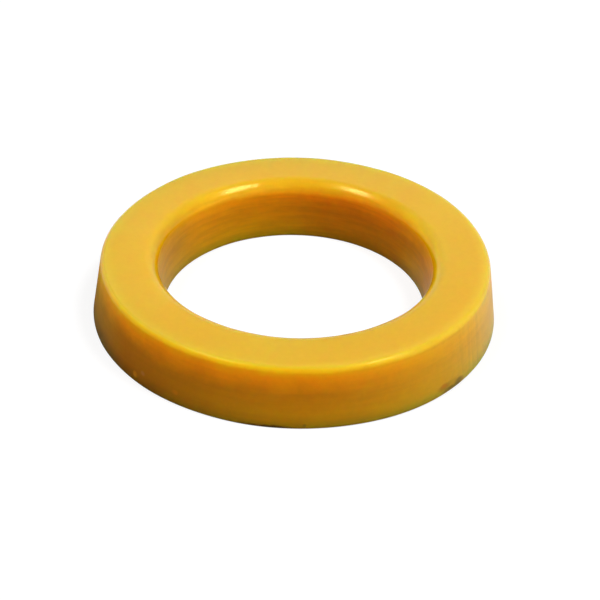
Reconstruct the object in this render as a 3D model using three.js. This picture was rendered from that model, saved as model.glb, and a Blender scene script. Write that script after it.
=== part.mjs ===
// Wax seal ring for a toilet pan, cast as one piece: a broad foot, a narrower crown, a leaning
// outside wall, a bore that opens towards the crown, and rounded edges.
// It is squeezed between the underside of the pan and the waste flange below it, and the outlet of
// the pan reaches into its bore.
// Units are millimetres. +Z is up, and the origin is the centre of the underside.

import * as THREE from 'three';

// Sizes of the ring, each measured to where two faces would meet if the edge between them were sharp.
const footDiameter = 135;
const crownDiameter = 129;
const footBore = 87.5;
const crownBore = 91;
const height = 21;

// Edge rounds. The crown's edge at the bore is much the softest.
const crownRound = 2;
const boreRound = 5;
const footRound = 0.8;

// Fineness of the mesh.
const sectors = 96;
const largestTurn = THREE.MathUtils.degToRad(13);

// A round may use up to this share of the shorter side that it cuts into.
const largestShareOfSide = 0.48;

const waxMaterial = new THREE.MeshStandardMaterial({
  color: new THREE.Color('#e2a32b'),
  roughness: 0.4,
  metalness: 0,
});

// Points of an arc that touches the sides before-corner and corner-after.
function roundedCorner(before, corner, after, radius) {
  const towardsBefore = before.clone().sub(corner);
  const towardsAfter = after.clone().sub(corner);
  const shorterSide = Math.min(towardsBefore.length(), towardsAfter.length());
  towardsBefore.normalize();
  towardsAfter.normalize();

  const halfAngle = Math.acos(towardsBefore.dot(towardsAfter)) / 2;
  const setback = Math.min(radius / Math.tan(halfAngle), largestShareOfSide * shorterSide);
  const arcRadius = setback * Math.tan(halfAngle);
  const start = corner.clone().addScaledVector(towardsBefore, setback);
  const end = corner.clone().addScaledVector(towardsAfter, setback);
  const inwards = towardsBefore.clone().add(towardsAfter).normalize();
  const centre = corner.clone().addScaledVector(inwards, arcRadius / Math.sin(halfAngle));

  const turn = Math.PI - 2 * halfAngle;
  const steps = Math.ceil(turn / largestTurn);
  const points = [];
  for (let step = 0; step <= steps; step += 1) {
    const spoke = start.clone().rotateAround(centre, (turn * step) / steps);
    points.push(spoke);
  }
  points[steps].copy(end);
  return points;
}

// The ring's section, counter-clockwise, as points of radius and height.
function sectionOutline() {
  const corners = [
    { at: new THREE.Vector2(footDiameter / 2, 0), round: footRound },
    { at: new THREE.Vector2(crownDiameter / 2, height), round: crownRound },
    { at: new THREE.Vector2(crownBore / 2, height), round: boreRound },
    { at: new THREE.Vector2(footBore / 2, 0), round: footRound },
  ];
  const outline = corners.flatMap(({ at, round }, index) => {
    const before = corners[(index + corners.length - 1) % corners.length].at;
    const after = corners[(index + 1) % corners.length].at;
    return roundedCorner(before, at, after, round);
  });
  outline.push(outline[0].clone());
  return outline;
}

// The section turned about the ring's axis, with that axis upright.
function sealRing() {
  const geometry = new THREE.LatheGeometry(sectionOutline(), sectors);
  geometry.rotateX(Math.PI / 2);
  const mesh = new THREE.Mesh(geometry, waxMaterial);
  mesh.name = 'seal_ring';
  return mesh;
}

const toiletPanSeal = new THREE.Group();
toiletPanSeal.add(sealRing());

export default toiletPanSeal;
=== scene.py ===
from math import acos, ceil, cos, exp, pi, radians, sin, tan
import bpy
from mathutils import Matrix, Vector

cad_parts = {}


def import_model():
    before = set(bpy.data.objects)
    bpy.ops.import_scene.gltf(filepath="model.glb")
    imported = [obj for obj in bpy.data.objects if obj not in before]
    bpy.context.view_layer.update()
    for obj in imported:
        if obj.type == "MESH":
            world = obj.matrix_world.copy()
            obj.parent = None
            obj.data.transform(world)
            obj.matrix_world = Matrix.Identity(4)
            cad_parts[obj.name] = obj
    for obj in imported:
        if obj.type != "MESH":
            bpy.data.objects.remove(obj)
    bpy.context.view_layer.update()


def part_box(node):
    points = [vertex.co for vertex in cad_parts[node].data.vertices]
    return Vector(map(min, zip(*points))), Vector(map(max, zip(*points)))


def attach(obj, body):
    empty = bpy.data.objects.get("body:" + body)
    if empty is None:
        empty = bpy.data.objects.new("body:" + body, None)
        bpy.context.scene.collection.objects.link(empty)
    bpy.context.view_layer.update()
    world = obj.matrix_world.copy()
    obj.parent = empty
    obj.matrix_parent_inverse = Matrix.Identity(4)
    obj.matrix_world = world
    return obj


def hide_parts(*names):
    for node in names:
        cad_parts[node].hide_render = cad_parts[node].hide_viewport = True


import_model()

# A wax seal ring for a toilet pan, on a pale floor in soft studio light.
# Units are metres. +Z is up, and the ring stands on the floor at the origin.
# Directions round the ring are counter-clockwise from +X, so the front is at -90 degrees.

from types import SimpleNamespace

import bpy
from mathutils import Matrix, Quaternion, Vector, noise

MM = 0.001
RING_NODE = "seal_ring"

# The ring's section, measured to the sharp corners.
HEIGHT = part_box(RING_NODE)[1].z
FOOT_RADIUS = 67.5 * MM
CROWN_RADIUS = 64.5 * MM
FOOT_BORE_RADIUS = 43.75 * MM
CROWN_BORE_RADIUS = 45.5 * MM
CROWN_ROUND = 2.0 * MM
BORE_ROUND = 5.0 * MM
FOOT_ROUND = 0.8 * MM

# Radii between which the bore's side gives way to the outside, for the form, the relief and the look.
FORM_CHANGES = (48 * MM, 60 * MM)
RELIEF_CHANGES = (48 * MM, 51 * MM)
LOOK_CHANGES = (52 * MM, 58 * MM)

# The casting's low waves, three in a turn, as shares of the radius on the cosine and the sine.
WAVES = (-0.0024, -0.0033)

# How far out the casting's surface lies, in mm: in the whole bore, and then by direction in degrees, in the
# bore and on the outside, each at the foot and at the crown.
WHOLE_BORE = -0.15
BULGES = {
    180: ((0.30, 0.30), (0.15, -0.30)),
    0: ((0.20, 0.80), (0.00, 0.00)),
    42: ((0.00, 0.00), (0.35, 0.35)),
    -42: ((0.00, 0.00), (0.30, 0.30)),
}

# The slump of the inner rim at the back: its depth in mm, the tilt of the face where it is deepest, how fast
# it fades from there, and how far behind the ring's middle it starts and is whole.
SLUMP_DEPTH = 0.3
SLUMP_TILT = radians(37)
SLUMP_SPREAD = radians(22)
SLUMP_COMES_IN = (10 * MM, 32 * MM)

# Fineness of the visible mesh.
SECTORS = 600
WALL_SPACING = 0.55 * MM
CROWN_SPACING = 0.9 * MM
UNDERSIDE_SPACING = 1.8 * MM
LARGEST_TURN = radians(6)

# The wax's colours on its flat top: two that drift into each other, and a lighter one at the outer edge,
# which is painted light.
TOP_COLOUR = (0.755, 0.452, 0.018, 1)
TOP_CLOUD_COLOUR = (0.755, 0.425, 0.016, 1)
TOP_EDGE_GLOW_COLOUR = (0.790, 0.480, 0.024, 1)

# The wax's colours down its walls, from the foot (0) to the rim (1), with painted shade and light in them:
# darker towards the foot and on the left, lighter towards the rim and on the right.
SHADED_WALL_COLOURS = {
    "left end": {
        0.0: (0.17, 0.085, 0.020, 1),
        0.25: (0.42, 0.175, 0.018, 1),
        0.55: (0.56, 0.240, 0.016, 1),
        0.82: (0.82, 0.380, 0.018, 1),
        1.0: (1.00, 0.560, 0.024, 1),
    },
    "left": {
        0.0: (0.26, 0.070, 0.002, 1),
        0.25: (0.50, 0.140, 0.002, 1),
        0.55: (0.59, 0.187, 0.002, 1),
        0.82: (0.96, 0.350, 0.001, 1),
        1.0: (1.00, 0.540, 0.002, 1),
    },
    "front": {
        0.0: (0.76, 0.245, 0.002, 1),
        0.25: (0.78, 0.312, 0.002, 1),
        0.55: (0.69, 0.272, 0.002, 1),
        0.82: (1.00, 0.395, 0.001, 1),
        1.0: (1.00, 0.510, 0.002, 1),
    },
    "right": {
        0.0: (0.99, 0.410, 0.020, 1),
        0.25: (0.87, 0.430, 0.014, 1),
        0.55: (0.84, 0.430, 0.014, 1),
        0.82: (0.91, 0.500, 0.014, 1),
        1.0: (0.83, 0.500, 0.034, 1),
    },
    "bore, left": {
        0.0: (0.78, 0.310, 0.002, 1),
        0.25: (0.80, 0.350, 0.002, 1),
        0.55: (0.75, 0.315, 0.001, 1),
        0.82: (0.84, 0.385, 0.001, 1),
        1.0: (0.82, 0.470, 0.001, 1),
    },
    "bore, right": {
        0.0: (0.57, 0.178, 0.002, 1),
        0.25: (0.70, 0.237, 0.002, 1),
        0.55: (0.66, 0.216, 0.001, 1),
        0.82: (0.86, 0.330, 0.001, 1),
        1.0: (0.84, 0.470, 0.001, 1),
    },
}

# How these colours and their painted shade follow each other over the outside wall, which starts out "left",
# and over the bore, which starts out "bore, left". Each comes in from the first distance right of the middle,
# in mm, and is whole at the second.
OUTSIDE_CHANGES = [("front", -60, -5), ("left end", -52, -64), ("right", 0, 60)]
BORE_CHANGES = [("bore, right", -20, 22)]

# What the bore's colour is multiplied by at its left and right ends, in the same terms: painted shade at the
# left end and a painted sheen, the reflection seen at a grazing angle, at the right end.
BORE_END_SHADE_AND_SHEEN = [((0.80, 0.86, 1.00, 1), -33, -42), ((1.08, 1.35, 1.00, 1), 33, 42)]

# Where the upright drag marks on the outside wall are strongest.
DRAG_DIRECTION = radians(-31)

# Marks on the outside wall: direction in degrees, height, half width and half height in mm, strength, colour.
# The first five make the nick at the front right, three specks at the left follow, and the last two are a
# speck and a painted contact shade, a dark line along the front of the foot where it meets the floor.
MARKS_AND_CONTACT_SHADE = [
    (-42.0, 2.5, 4.4, 1.3, 0.35, (0.42, 0.180, 0.002, 1)),
    (-44.8, 3.1, 2.3, 0.9, 0.55, (0.60, 0.200, 0.001, 1)),
    (-44.9, 3.3, 1.1, 0.6, 0.50, (0.78, 0.180, 0.001, 1)),
    (-38.4, 1.7, 1.9, 1.1, 0.62, (0.10, 0.060, 0.003, 1)),
    (-41.5, 0.8, 5.0, 0.9, 0.70, (0.18, 0.095, 0.003, 1)),
    (-138.0, 3.0, 1.0, 0.9, 0.70, (0.90, 0.240, 0.006, 1)),
    (-135.0, 5.0, 0.9, 0.7, 0.30, (0.70, 0.300, 0.100, 1)),
    (-123.0, 4.5, 1.0, 0.7, 0.40, (0.90, 0.260, 0.006, 1)),
    (-86.5, 1.5, 0.5, 0.5, 0.35, (0.15, 0.090, 0.012, 1)),
    # Painted contact shade along the foot's bottom edge at the front.
    (-97.0, 0.3, 7.5, 0.9, 0.90, (0.02, 0.008, 0.003, 1)),
]

# How the wax takes light. The radius is how far red, green and blue travel inside it, in millimetres.
IOR = 1.34
SPECULAR_TINT = (1.0, 0.88, 0.26, 1)
SUBSURFACE_RADIUS = (20.0, 9.0, 0.6)

# The floor: half its side, its grey under the light and where it is seen, and its own glow where it is seen.
FLOOR_HALF_SIDE = 6.0
FLOOR_LIT_GREY = (0.27, 0.27, 0.27, 1)
FLOOR_SEEN_GREY = (0.22, 0.22, 0.22, 1)
FLOOR_GLOW = 0.82

# The white surroundings' light on the ring. Where they are seen, they have the strength 1.
FILL = 0.02

# Each lamp's azimuth and elevation in degrees, its light and its apparent size in degrees.
LAMPS = {
    "left": (189, 65, 0.96, 13.6),
    "right": (-7, 64, 1.50, 15.5),
    "around left": (189, 65, 0.36, 26),
    "front right": (-38, 42, 0.98, 60),
    "low left": (205, 25, 0.14, 60),
    "low right": (0, 14, 0.34, 60),
    "overhead": (160, 80, 0.05, 80),
}

# The photograph's camera, found by matching the ring's four edges.
PICTURE_SIDE = 600
FOCAL_PX = 1717
RING_AT_PX = (295.0, 279.2)
CAMERA_DISTANCE = 576.6 * MM
CAMERA_ELEVATION = radians(33.85)
CAMERA_ROLL = radians(-1.50)
SENSOR_WIDTH_MM = 36


def rounded_corner(before, corner, after, radius):
    """Points of the arc that touches the sides before-corner and corner-after."""
    to_before = (before - corner).normalized()
    to_after = (after - corner).normalized()
    half = acos(to_before.dot(to_after)) / 2
    centre = corner + (to_before + to_after).normalized() * radius / sin(half)
    spoke = corner + to_before * radius / tan(half) - centre
    turn = pi - 2 * half
    steps = ceil(turn / LARGEST_TURN)
    points = []
    for step in range(steps + 1):
        turned = spoke.copy()
        turned.rotate(Matrix.Rotation(turn * step / steps, 2))
        points.append(centre + turned)
    return points


def stretch(start, end, spacing):
    """Points between two ends, without the ends themselves."""
    steps = ceil((end - start).length / spacing)
    return [start.lerp(end, step / steps) for step in range(1, steps)]


def section():
    """The ring's section as points of radius and height, counter-clockwise from the foot's outer edge."""
    corners = [
        (Vector((FOOT_RADIUS, 0)), FOOT_ROUND, WALL_SPACING),
        (Vector((CROWN_RADIUS, HEIGHT)), CROWN_ROUND, CROWN_SPACING),
        (Vector((CROWN_BORE_RADIUS, HEIGHT)), BORE_ROUND, WALL_SPACING),
        (Vector((FOOT_BORE_RADIUS, 0)), FOOT_ROUND, UNDERSIDE_SPACING),
    ]
    rounds = []
    for index, (corner, radius, _) in enumerate(corners):
        before = corners[index - 1][0]
        after = corners[(index + 1) % len(corners)][0]
        rounds.append(rounded_corner(before, corner, after, radius))
    points = []
    for index, (_, _, spacing) in enumerate(corners):
        following = rounds[(index + 1) % len(rounds)]
        points += rounds[index] + stretch(rounds[index][-1], following[0], spacing)
    return points


def smooth_step(low, high, value):
    """0 up to the low value, 1 from the high one, and smooth between them."""
    t = min(max((value - low) / (high - low), 0), 1)
    return t * t * (3 - 2 * t)


def between(ends, share):
    return ends[0] + (ends[1] - ends[0]) * share


def out_of_round(angle, radius, height):
    """How far the casting's radius is off the true form."""
    waves = radius * (WAVES[0] * cos(3 * angle) + WAVES[1] * sin(3 * angle))
    on_outside = smooth_step(*FORM_CHANGES, radius)
    up = height / HEIGHT
    bulge = (1 - on_outside) * WHOLE_BORE
    for direction, (bore, outside) in BULGES.items():
        here = max(0, cos(angle - radians(direction))) ** 4
        bulge += here * between((between(bore, up), between(outside, up)), on_outside)
    return waves + bulge * MM


def rolling(point, depth, rates, shift=(0, 0, 0)):
    """Smooth random relief of about this depth, coming and going at these rates per metre in X, Y and Z."""
    spread = Vector([value * rate for value, rate in zip(point, rates)])
    return depth * noise.noise(spread + Vector(shift))


def relief(point, radius, height, tilt):
    """How far the wax stands proud of the true form. Tilt is its face's, from level."""
    in_bore = 1 - smooth_step(*RELIEF_CHANGES, radius)
    below_rim = 1 - smooth_step(HEIGHT - 5 * MM, HEIGHT - 1 * MM, height)
    near_rim = smooth_step(HEIGHT - 6 * MM, HEIGHT - 1 * MM, height)
    swell = rolling(point, depth=0.14, rates=(38, 38, 38))
    ripple = rolling(point, depth=0.05, rates=(120, 120, 120), shift=(7, 3, 1)) * (0.4 + 0.6 * near_rim)
    pebbles = rolling(point, depth=0.02, rates=(340, 340, 340)) * near_rim
    layers = rolling(point, depth=0.05, rates=(28, 28, 520)) * in_bore * below_rim
    slump = -SLUMP_DEPTH * in_bore * (height > HEIGHT / 2)
    slump *= exp(-((tilt - SLUMP_TILT) / SLUMP_SPREAD) ** 2)
    slump *= smooth_step(*SLUMP_COMES_IN, point.y)
    return (swell + ripple + pebbles + layers + slump) * MM


def build_ring():
    """The section turned about the ring's axis, with the casting's faults."""
    profile = section()
    count = len(profile)
    vertices = []
    for sector in range(SECTORS):
        angle = 2 * pi * sector / SECTORS
        around = Vector((cos(angle), sin(angle), 0))
        for index, (radius, height) in enumerate(profile):
            previous = profile[index - 1]
            following = profile[(index + 1) % count]
            along = (following - previous).normalized()
            outward = around * along.y + Vector((0, 0, -along.x))
            place = around * (radius + out_of_round(angle, radius, height)) + Vector((0, 0, height))
            tilt = acos(min(max(outward.z, -1), 1))
            place += outward * relief(place, radius, height, tilt)
            place.z = max(place.z, 0)
            vertices.append(place)
    faces = []
    for sector in range(SECTORS):
        here = sector * count
        there = (sector + 1) % SECTORS * count
        for index in range(count):
            up = (index + 1) % count
            faces.append((here + index, there + index, there + up, here + up))
    mesh = bpy.data.meshes.new("wax_ring")
    mesh.from_pydata(vertices, [], faces)
    mesh.validate()
    mesh.shade_smooth()
    ring = bpy.data.objects.new("wax_ring", mesh)
    bpy.context.collection.objects.link(ring)
    return ring


class Shader:
    """A node tree, with short calls for its nodes."""

    def __init__(self, owner):
        owner.use_nodes = True
        self.tree = owner.node_tree
        self.tree.nodes.clear()

    def node(self, kind, inputs=None, **settings):
        node = self.tree.nodes.new(kind)
        for name, value in settings.items():
            setattr(node, name, value)
        for name, value in (inputs or {}).items():
            self.put(node.inputs[name], value)
        return node

    def put(self, socket, value):
        if isinstance(value, bpy.types.NodeSocket):
            self.tree.links.new(value, socket)
        else:
            socket.default_value = value

    def math(self, operation, *values, clamp=False):
        node = self.node("ShaderNodeMath", operation=operation, use_clamp=clamp)
        for socket, value in zip(node.inputs, values):
            self.put(socket, value)
        return node.outputs[0]

    def noise(self, vector, scale, detail, roughness=0.5):
        settings = {"Vector": vector, "Scale": scale, "Detail": detail, "Roughness": roughness}
        return self.node("ShaderNodeTexNoise", settings).outputs["Fac"]

    def stretched(self, vector, x, y, z):
        return self.node("ShaderNodeMapping", {"Vector": vector, "Scale": (x, y, z)}).outputs[0]

    def ramp(self, value, low, high, to_low=0.0, to_high=1.0):
        """A smooth step from one value to the other. Low may be above high."""
        inputs = {"Value": value, "From Min": low, "From Max": high, "To Min": to_low, "To Max": to_high}
        return self.node("ShaderNodeMapRange", inputs, interpolation_type="SMOOTHSTEP").outputs[0]

    def grey(self, value):
        inputs = {"Red": value, "Green": value, "Blue": value}
        return self.node("ShaderNodeCombineColor", inputs).outputs[0]

    def colours(self, value, stops, name):
        node = self.node("ShaderNodeValToRGB", {"Fac": value}, name=name)
        elements = node.color_ramp.elements
        while len(elements) < len(stops):
            elements.new(0.5)
        for element, (place, shade) in zip(elements, stops.items()):
            element.position = place
            element.color = shade
        return node.outputs["Color"]

    def mix(self, factor, first, second, blend="MIX"):
        node = self.node("ShaderNodeMix", data_type="RGBA", blend_type=blend)
        self.put(node.inputs["Factor"], factor)
        self.put(node.inputs[6], first)
        self.put(node.inputs[7], second)
        return node.outputs[2]


def places(s):
    """Where a point of the wax is and how it faces, as sockets."""
    point = s.node("ShaderNodeTexCoord").outputs["Object"]
    parts = s.node("ShaderNodeSeparateXYZ", {"Vector": point}).outputs
    normal = s.node("ShaderNodeNewGeometry").outputs["Normal"]
    angle = s.math("ARCTAN2", parts["Y"], parts["X"])
    around = s.math("MULTIPLY", angle, FOOT_RADIUS)
    level = s.node("ShaderNodeVectorMath", {0: point, 1: (1, 1, 0)}, operation="MULTIPLY").outputs[0]
    radius = s.node("ShaderNodeVectorMath", {0: level}, operation="LENGTH").outputs["Value"]
    return SimpleNamespace(
        point=point,
        x=parts["X"],
        z=parts["Z"],
        up=s.node("ShaderNodeSeparateXYZ", {"Vector": normal}).outputs["Z"],
        angle=angle,
        around=around,
        radius=radius,
        unrolled=s.node("ShaderNodeCombineXYZ", {"X": around, "Y": parts["Z"], "Z": radius}).outputs[0],
        outside=s.ramp(radius, *LOOK_CHANGES),
    )


def shaded_wall_colour(s, at):
    # Painted shade and light: the colours darken towards the foot, on the left and in the bore's right side,
    # and lighten towards the rim and on the right.
    uneven = s.ramp(s.noise(at.point, scale=110, detail=3), 0.25, 0.75, -0.05, 0.05)
    height = s.math("ADD", s.math("DIVIDE", at.z, HEIGHT), uneven)
    walls = {name: s.colours(height, stops, name) for name, stops in SHADED_WALL_COLOURS.items()}
    outer = walls["left"]
    for name, start, whole in OUTSIDE_CHANGES:
        outer = s.mix(s.ramp(at.x, start * MM, whole * MM), outer, walls[name])
    bore = walls["bore, left"]
    for name, start, whole in BORE_CHANGES:
        bore = s.mix(s.ramp(at.x, start * MM, whole * MM), bore, walls[name])
    # Painted shade at the bore's left end and a painted sheen at its right end.
    for shade, start, whole in BORE_END_SHADE_AND_SHEEN:
        bore = s.mix(s.ramp(at.x, start * MM, whole * MM), bore, shade, "MULTIPLY")
    return s.mix(at.outside, bore, outer)


def streaked(s, at, wall):
    """The wall with level streaks, stronger in the bore, and upright drag marks at the front right."""
    streaks = s.noise(s.stretched(at.unrolled, 45, 620, 1), scale=1, detail=3)
    shade = s.grey(s.ramp(streaks, 0.3, 0.7, 0.93, 1.07))
    wall = s.mix(s.ramp(at.outside, 0, 1, 1.0, 0.4), wall, shade, "MULTIPLY")
    drags = s.noise(s.stretched(at.unrolled, 600, 40, 1), scale=1, detail=2)
    shade = s.grey(s.ramp(drags, 0.25, 0.75, 0.94, 1.07))
    off_drags = s.math("ABSOLUTE", s.math("SUBTRACT", at.angle, DRAG_DIRECTION))
    drag_zone = s.math("MULTIPLY", s.ramp(off_drags, 0.20, 0.05), at.outside)
    return s.mix(drag_zone, wall, shade, "MULTIPLY")


def marked(s, at, wall):
    """The wall with its marks and a painted contact shade at the foot, whose edges are frayed."""
    frayed = s.ramp(s.noise(at.point, scale=330, detail=3), 0.2, 0.8, -0.25, 0.25)
    for degrees, height, half_width, half_height, strength, shade in MARKS_AND_CONTACT_SHADE:
        along = s.math("SUBTRACT", at.around, radians(degrees) * FOOT_RADIUS)
        above = s.math("SUBTRACT", at.z, height * MM)
        shares = [s.math("DIVIDE", along, half_width * MM), s.math("DIVIDE", above, half_height * MM)]
        squares = [s.math("MULTIPLY", share, share) for share in shares]
        distance = s.math("SQRT", s.math("ADD", *squares))
        inside = s.ramp(s.math("ADD", distance, frayed), 1.6, 0.5, 0, strength)
        wall = s.mix(s.math("MULTIPLY", inside, at.outside), wall, shade)
    return wall


def top_colour(s, at):
    cloud = s.ramp(s.noise(at.point, scale=28, detail=3, roughness=0.6), 0.35, 0.65)
    top = s.mix(cloud, TOP_COLOUR, TOP_CLOUD_COLOUR)
    # Painted light: the top is made lighter along its outer edge.
    return s.mix(s.ramp(at.radius, 60 * MM, 63.5 * MM), top, TOP_EDGE_GLOW_COLOUR)


def mottled(s, at, colour):
    """The colour with fine mottling, weaker on the top."""
    mottle = s.noise(at.point, scale=480, detail=4, roughness=0.7)
    shade = s.grey(s.ramp(mottle, 0.25, 0.75, 0.97, 1.03))
    strength = s.ramp(at.up, 0.3, 0.9, 1.0, 0.6)
    return s.mix(1.0, colour, s.mix(strength, (1, 1, 1, 1), shade), "MULTIPLY")


def roughness(s, at):
    """Glossy on the top and its edges and satin on the walls, with the left duller than the right."""
    outer_wall = s.math("MULTIPLY", s.ramp(at.x, -60 * MM, 40 * MM, 0.90, 0.42), at.outside)
    walls = s.math("ADD", outer_wall, s.ramp(at.outside, 0, 1, 0.52, 0))
    edge = s.math("MULTIPLY", s.ramp(at.up, 0.98, 0.88), s.ramp(at.x, 20 * MM, -30 * MM, 0, 0.17))
    top = s.math("ADD", s.math("MULTIPLY", edge, at.outside), 0.13)
    return s.ramp(at.up, 0.15, 0.5, walls, top)


def bump(s, at):
    """The fine grain and dimples of the wax."""
    grain = s.math("MULTIPLY", s.noise(at.point, scale=900, detail=3), 0.05)
    dimples = s.math("MULTIPLY", s.noise(at.point, scale=240, detail=3), 0.95)
    inputs = {"Height": s.math("ADD", grain, dimples), "Strength": 0.3, "Distance": 0.3 * MM}
    return s.node("ShaderNodeBump", inputs).outputs[0]


def wax_material():
    material = bpy.data.materials.new("petroleum_wax")
    s = Shader(material)
    at = places(s)
    wall = marked(s, at, streaked(s, at, shaded_wall_colour(s, at)))
    # The walls' colours, with their painted shade, give way to the top's as the face turns up.
    colour = mottled(s, at, s.mix(s.ramp(at.up, 0.68, 1.0), wall, top_colour(s, at)))
    inputs = {
        "Base Color": colour,
        "Roughness": roughness(s, at),
        "IOR": IOR,
        "Specular Tint": SPECULAR_TINT,
        "Subsurface Weight": 1.0,
        "Subsurface Radius": SUBSURFACE_RADIUS,
        "Subsurface Scale": MM,
        "Normal": bump(s, at),
    }
    shader = s.node("ShaderNodeBsdfPrincipled", inputs)
    s.node("ShaderNodeOutputMaterial", {"Surface": shader.outputs[0]})
    return material


def seen_rays(s):
    """1 for the rays that show the background: the camera's, and those in gloss and glass."""
    path = s.node("ShaderNodeLightPath").outputs
    seen = s.math("ADD", path["Is Camera Ray"], path["Is Glossy Ray"], clamp=True)
    return s.math("ADD", seen, path["Is Transmission Ray"], clamp=True)


def floor():
    material = bpy.data.materials.new("floor")
    s = Shader(material)
    seen = seen_rays(s)
    diffuse = s.node("ShaderNodeBsdfDiffuse", {"Color": s.mix(seen, FLOOR_LIT_GREY, FLOOR_SEEN_GREY)})
    glow = s.node("ShaderNodeEmission", {"Strength": s.math("MULTIPLY", seen, FLOOR_GLOW)})
    both = s.node("ShaderNodeAddShader", {0: diffuse.outputs[0], 1: glow.outputs[0]})
    s.node("ShaderNodeOutputMaterial", {"Surface": both.outputs[0]})
    signs = [(-1, -1), (1, -1), (1, 1), (-1, 1)]
    corners = [(x * FLOOR_HALF_SIDE, y * FLOOR_HALF_SIDE, 0) for x, y in signs]
    mesh = bpy.data.meshes.new("floor")
    mesh.from_pydata(corners, [], [(0, 1, 2, 3)])
    mesh.materials.append(material)
    plane = bpy.data.objects.new("floor", mesh)
    bpy.context.collection.objects.link(plane)


def world():
    sky = bpy.data.worlds.new("studio")
    bpy.context.scene.world = sky
    s = Shader(sky)
    strength = s.ramp(seen_rays(s), 0, 1, FILL, 1.0)
    background = s.node("ShaderNodeBackground", {"Color": (1, 1, 1, 1), "Strength": strength})
    s.node("ShaderNodeOutputWorld", {"Surface": background.outputs[0]})


def lamp(name, azimuth, elevation, energy, size):
    """A soft lamp far away. Its energy is the light that falls on a surface facing it."""
    turn = radians(azimuth)
    rise = radians(elevation)
    towards = Vector((cos(rise) * cos(turn), cos(rise) * sin(turn), sin(rise)))
    data = bpy.data.lights.new(name, "SUN")
    data.energy = energy
    data.angle = radians(size)
    light = bpy.data.objects.new(name, data)
    light.rotation_mode = "QUATERNION"
    light.rotation_quaternion = towards.to_track_quat("Z", "Y")
    light.location = towards
    bpy.context.collection.objects.link(light)


def camera():
    middle = Vector((0, 0, HEIGHT / 2))
    back = Vector((0, -cos(CAMERA_ELEVATION), sin(CAMERA_ELEVATION)))
    off_centre = [pixel - PICTURE_SIDE / 2 for pixel in RING_AT_PX]
    ring_in_view = Vector((off_centre[0], -off_centre[1], -FOCAL_PX))
    data = bpy.data.cameras.new("camera")
    data.sensor_width = SENSOR_WIDTH_MM
    data.lens = FOCAL_PX / PICTURE_SIDE * SENSOR_WIDTH_MM
    data.clip_start = 0.01
    eye = bpy.data.objects.new("camera", data)
    eye.rotation_mode = "QUATERNION"
    roll = Quaternion((0, 0, 1), -CAMERA_ROLL)
    turn = ring_in_view.rotation_difference(Vector((0, 0, -1)))
    eye.rotation_quaternion = back.to_track_quat("Z", "Y") @ roll @ turn
    eye.location = middle + back * CAMERA_DISTANCE
    bpy.context.collection.objects.link(eye)
    bpy.context.scene.camera = eye


bpy.context.scene.view_settings.view_transform = "Standard"
camera()
floor()
world()
for lamp_name, facts in LAMPS.items():
    lamp(lamp_name, *facts)

ring = build_ring()
ring.data.materials.append(wax_material())
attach(ring, "root")
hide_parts(RING_NODE)
